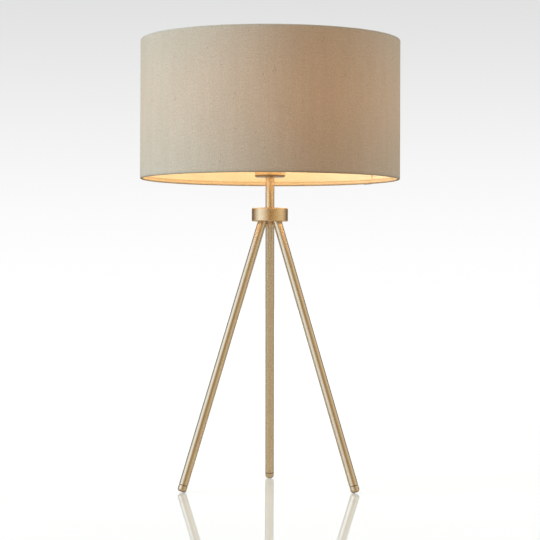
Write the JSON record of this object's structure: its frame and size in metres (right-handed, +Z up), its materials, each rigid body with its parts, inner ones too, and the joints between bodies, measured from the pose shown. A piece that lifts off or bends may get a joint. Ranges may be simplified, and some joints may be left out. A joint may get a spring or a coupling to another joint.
{
  "type": "tripod table lamp",
  "caption": "Table lamp with a drum fabric shade on three slim leaning metal tube legs that meet in a turned collar, with a short stem, a holder cup and a screw-in bulb.",
  "frame": {"origin": "on the surface it stands on, under the lamp's vertical axis", "axes": "+Z up along the stem, -Y towards the front, +Y towards the rear leg, +X to the right seen from the front"},
  "size_m": [0.35, 0.35, 0.6024],
  "materials": {
    "satin_brass": "satin, antique brass look, lightly lacquered",
    "zinc_steel": "bright zinc plated",
    "black_plastic": "moulded, slight sheen",
    "white_ceramic": "glazed steatite",
    "contact_brass": "rolled, bare",
    "solder": "dull solder",
    "black_glass": "glossy black glass",
    "cap_nickel": "bright, rolled thread",
    "white_plastic": "smooth white",
    "plate_aluminium": "milled",
    "opal_globe": "opal diffuser, lit",
    "shade_fabric": "plain woven linen look, with fine slubs",
    "liner_film": "stiff cream film",
    "white_wire": "white enamel"
  },
  "bodies": {
    "base": {"collar": "satin_brass", "cable_outlet": "satin_brass", "stem_tube": "satin_brass", "threaded_tube": "zinc_steel", "leg_rear": "satin_brass", "leg_left": "satin_brass", "leg_right": "satin_brass", "foot_rear": "satin_brass", "foot_left": "satin_brass", "foot_right": "satin_brass", "holder_cup": "satin_brass", "cup_washer": "zinc_steel", "cup_nut": "zinc_steel", "holder_base": "black_plastic", "holder_grub_screw": "zinc_steel", "holder_shell": "black_plastic", "contact_block": "white_ceramic", "centre_contact": "contact_brass", "side_contact": "contact_brass", "terminal_screws": "zinc_steel", "screw_shell": "contact_brass", "retaining_ring_lower": "black_plastic"},
    "shade": {"shade_cloth": "shade_fabric", "shade_liner": "liner_film", "wire_bottom": "white_wire", "wire_top": "white_wire", "carrier_ring": "white_wire", "carrier_arm_rear": "white_wire", "carrier_arm_left": "white_wire", "carrier_arm_right": "white_wire"},
    "ring": {"retaining_ring_upper": "black_plastic"},
    "bulb": {"bulb_contact": "solder", "bulb_insulator": "black_glass", "bulb_cap": "cap_nickel", "bulb_housing": "white_plastic", "bulb_light_plate": "plate_aluminium", "bulb_globe": "opal_globe"}
  },
  "joints": [
    {"name": "shade_turn", "type": "hinge", "parent": "base", "child": "shade", "pos_m": [0, 0, 0.4545], "axis": [0, 0, 1], "continuous": true},
    {"name": "ring_turn", "type": "hinge", "parent": "base", "child": "ring", "pos_m": [0, 0, 0.4563], "axis": [0, 0, 1], "continuous": true},
    {"name": "bulb_lift", "type": "slide", "parent": "base", "child": "bulb", "axis": [0, 0, 1], "range_m": [0, 0.155]}
  ]
}
